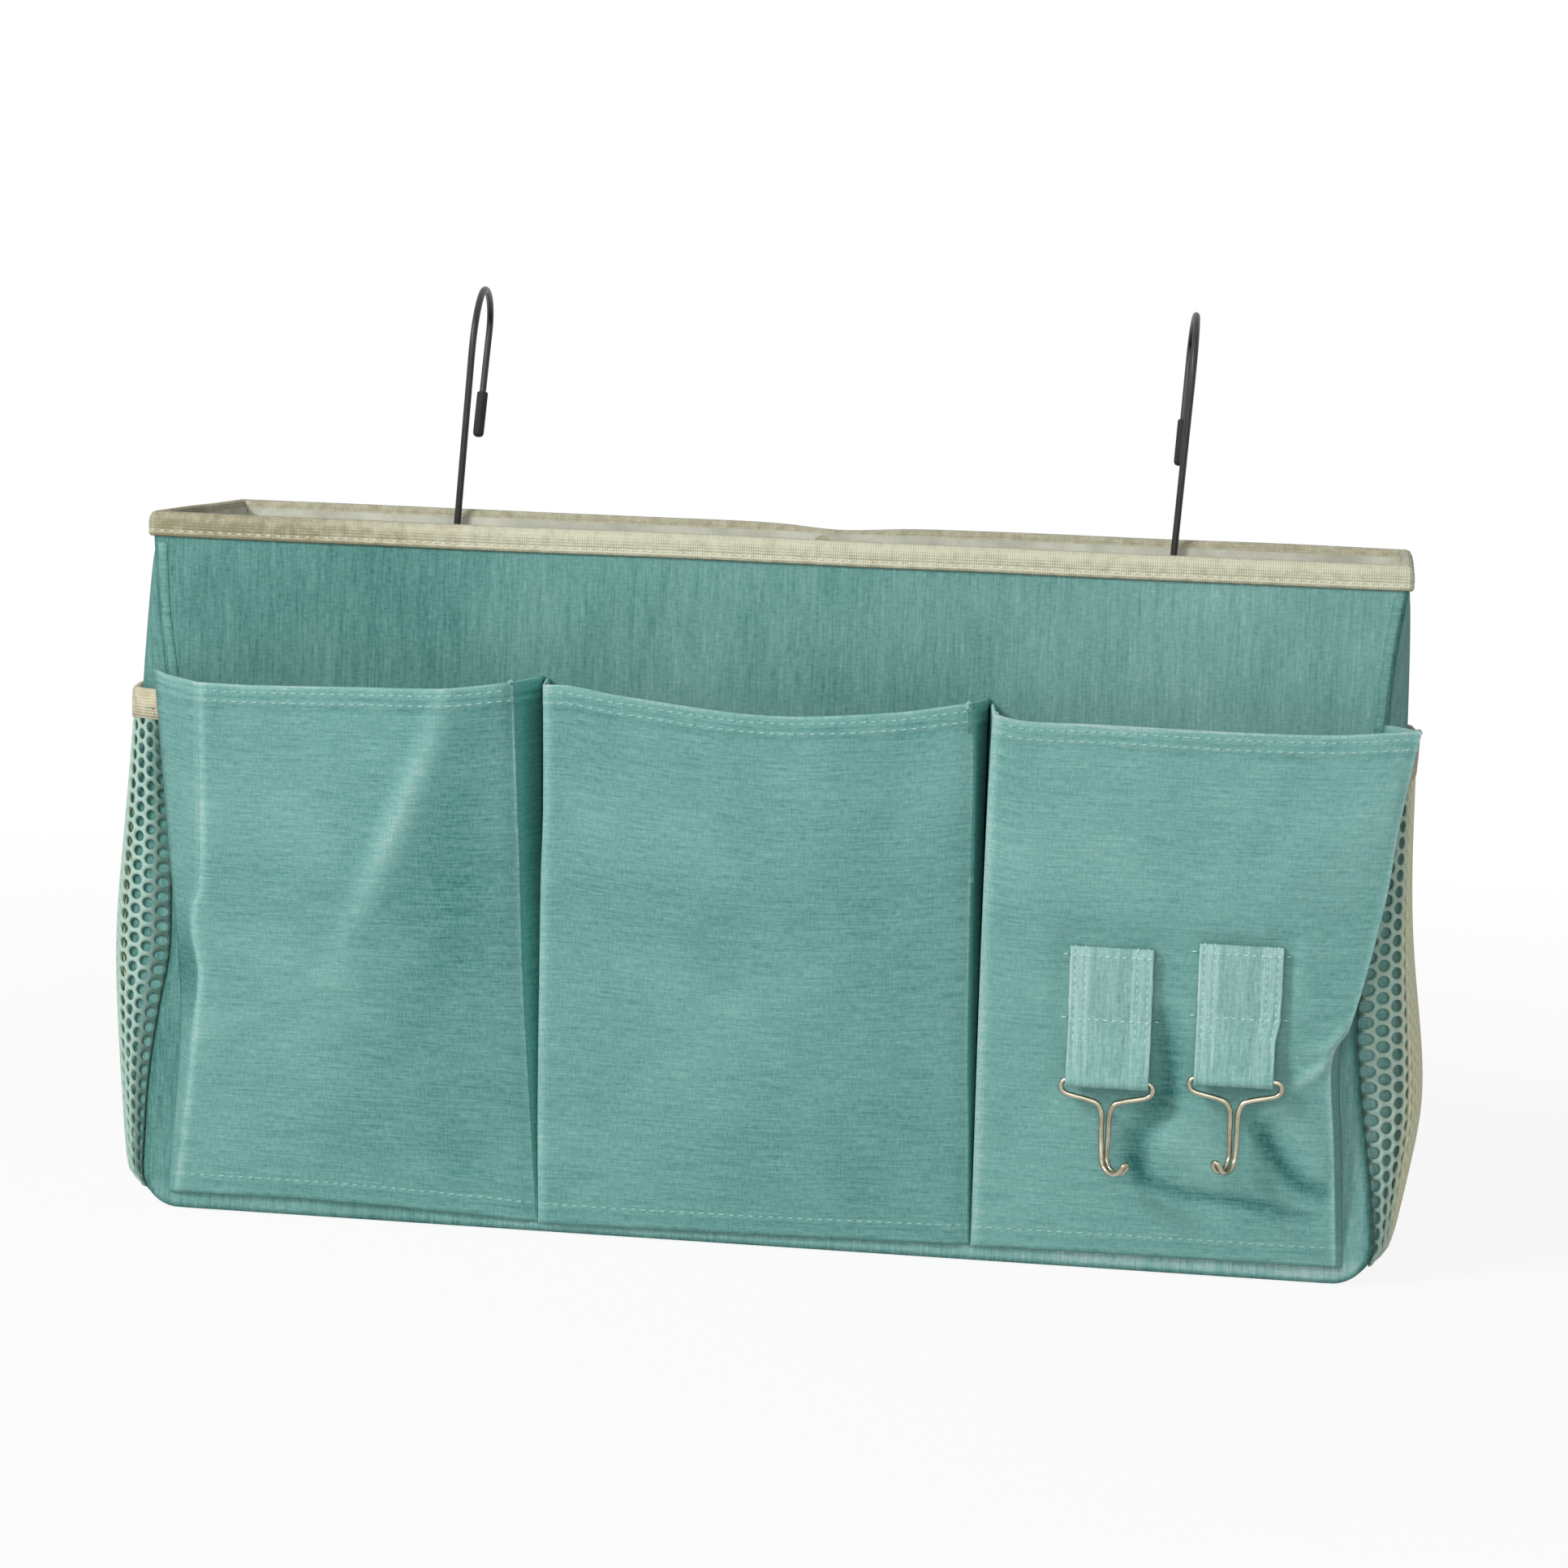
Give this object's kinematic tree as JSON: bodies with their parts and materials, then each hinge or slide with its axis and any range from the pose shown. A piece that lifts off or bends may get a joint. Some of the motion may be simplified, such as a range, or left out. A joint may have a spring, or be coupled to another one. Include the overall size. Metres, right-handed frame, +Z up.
{
  "type": "hanging storage bag",
  "caption": "Open-topped rectangular cloth storage bag with wedge front pockets, net side pockets and swinging key hooks, hung from a rail by wire hangers.",
  "frame": {"origin": "centre of the underside of the base", "axes": "+X to the viewer's right along the long side, +Y to the back wall and its hangers, +Z up"},
  "size_m": [0.4105, 0.162, 0.2854],
  "materials": {
    "teal_cloth": "matte slub weave",
    "board": "matte stiffener board",
    "lining": "matte non-woven",
    "tape": "ribbed binding tape",
    "net": "knitted net",
    "elastic": "woven elastic",
    "key_hook_wire": "plated wire",
    "eyelet": "nickel",
    "hanger_wire": "black coated wire",
    "sleeve": "matte rubber"
  },
  "bodies": {
    "bag": {"front_panel": "teal_cloth", "front_board": "board", "front_lining": "lining", "back_panel": "teal_cloth", "back_board": "board", "back_lining": "lining", "left_side_panel": "teal_cloth", "left_side_lining": "lining", "right_side_panel": "teal_cloth", "right_side_lining": "lining", "base_panel": "teal_cloth", "base_board": "board", "base_lining": "lining", "rim_tape": "tape", "left_front_pocket": "teal_cloth", "middle_front_pocket": "teal_cloth", "right_front_pocket": "teal_cloth", "left_net_pocket": "net", "left_net_tape": "tape", "left_net_elastic": "elastic", "right_net_pocket": "net", "right_net_tape": "tape", "right_net_elastic": "elastic", "left_strap": "teal_cloth", "right_strap": "teal_cloth", "left_eyelet": "eyelet", "right_eyelet": "eyelet", "left_washer": "eyelet", "right_washer": "eyelet"},
    "left_hanger": {"left_hanger": "hanger_wire", "left_hanger_sleeve": "sleeve"},
    "right_hanger": {"right_hanger": "hanger_wire", "right_hanger_sleeve": "sleeve"},
    "left_key_hook": {"left_key_hook": "key_hook_wire"},
    "right_key_hook": {"right_key_hook": "key_hook_wire"}
  },
  "joints": [
    {"name": "left_hanger_tilt", "type": "hinge", "parent": "bag", "child": "left_hanger", "pos_m": [-0.1165, 0.0495, 0.1909], "axis": [0.995, 0.0819, -0.0574], "range_deg": [0, 40]},
    {"name": "right_hanger_tilt", "type": "hinge", "parent": "bag", "child": "right_hanger", "pos_m": [0.114, 0.0495, 0.1909], "axis": [0.995, 0.0819, -0.0574], "range_deg": [0, 40]},
    {"name": "left_key_hook_swing", "type": "hinge", "parent": "bag", "child": "left_key_hook", "pos_m": [0.1082, -0.06497, 0.05915], "axis": [-1, 0, 0], "range_deg": [-10, 145]},
    {"name": "right_key_hook_swing", "type": "hinge", "parent": "bag", "child": "right_key_hook", "pos_m": [0.1458, -0.06541, 0.06195], "axis": [-1, 0, 0], "range_deg": [-10, 145]}
  ]
}
